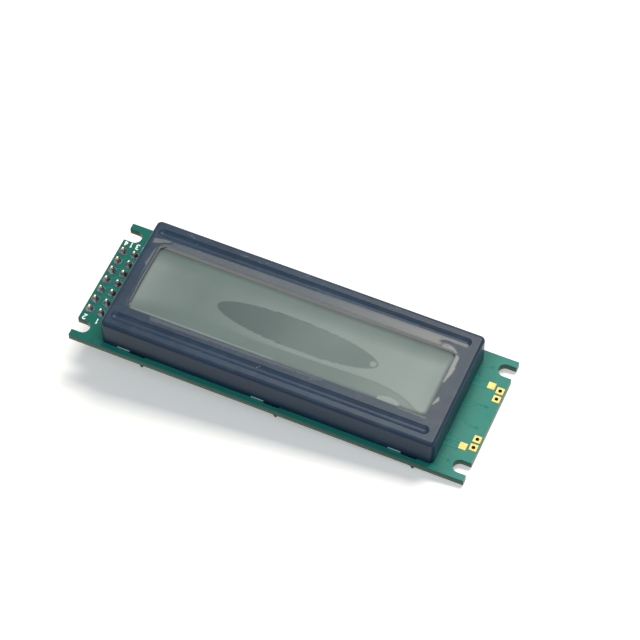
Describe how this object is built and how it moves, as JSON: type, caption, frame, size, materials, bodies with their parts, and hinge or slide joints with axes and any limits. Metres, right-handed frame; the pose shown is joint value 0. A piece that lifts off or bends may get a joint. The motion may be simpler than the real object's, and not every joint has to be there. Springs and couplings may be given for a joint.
{
  "type": "character lcd module",
  "caption": "Character display module: a stamped steel bezel with pressed beads holds a glass cell and backlight on a slim circuit board with a pin header",
  "frame": {"origin": "centre of the circuit board's front face, which is also the centre of its four end slots", "axes": "+X along the board away from the pin header, +Y across the board towards its upper edge as the display reads, +Z out of the display towards its viewer"},
  "size_m": [0.085, 0.0296, 0.017],
  "materials": {
    "black_steel": "stamped sheet steel, black satin paint with a blue cast",
    "clear_film": "thin clear peel-off film, glossy, partly wetted to the polariser",
    "polariser": "grey-green reflective display seen through a polariser",
    "glass": "clear flat glass",
    "clear_resin": "clear cured resin",
    "diffuser_film": "white translucent film",
    "clear_acrylic": "clear moulded acrylic",
    "reflector_film": "white reflective film",
    "white_plastic": "white moulded plastic",
    "solder_mask": "glass-fibre board under glossy green solder mask, raw resin edges",
    "lamp_resin": "yellow filled resin",
    "tinned_wire": "tinned wire",
    "solder": "bright dark-grey solder",
    "contact_rubber": "layered conductive rubber",
    "gold_plate": "thin gold over copper",
    "black_plastic": "black glass-filled plastic",
    "gold_pins": "gold-plated square pins",
    "black_resin": "black epoxy poured as a drop",
    "silicon": "bare silicon",
    "resistor_body": "black glazed ceramic",
    "capacitor_body": "tan ceramic",
    "tinned_ends": "tinned metal ends",
    "tinned_lands": "tinned copper lands"
  },
  "bodies": {
    "root": {"bezel": "black_steel", "protective_film": "clear_film", "front_polariser": "polariser", "front_glass": "glass", "rear_glass": "glass", "fill_port_plug": "clear_resin", "rear_polariser": "polariser", "diffuser_sheet": "diffuser_film", "light_guide": "clear_acrylic", "reflector_sheet": "reflector_film", "backlight_frame": "white_plastic", "lamp_strip": "solder_mask", "leds": "lamp_resin", "lamp_leads": "tinned_wire", "lamp_lead_solder": "solder", "contact_strip_front": "contact_rubber", "contact_strip_rear": "contact_rubber", "contact_pads": "gold_plate", "circuit_board": "solder_mask", "header_lands": "gold_plate", "wire_lands": "gold_plate", "header_body": "black_plastic", "header_pins": "gold_pins", "header_solder": "solder", "controller_cap": "black_resin", "driver_cap": "black_resin", "controller_chip": "silicon", "driver_chip": "silicon", "chip_resistors": "resistor_body", "chip_capacitors": "capacitor_body", "chip_ends": "tinned_ends", "chip_solder": "solder", "rear_lands": "tinned_lands"}
  },
  "joints": []
}
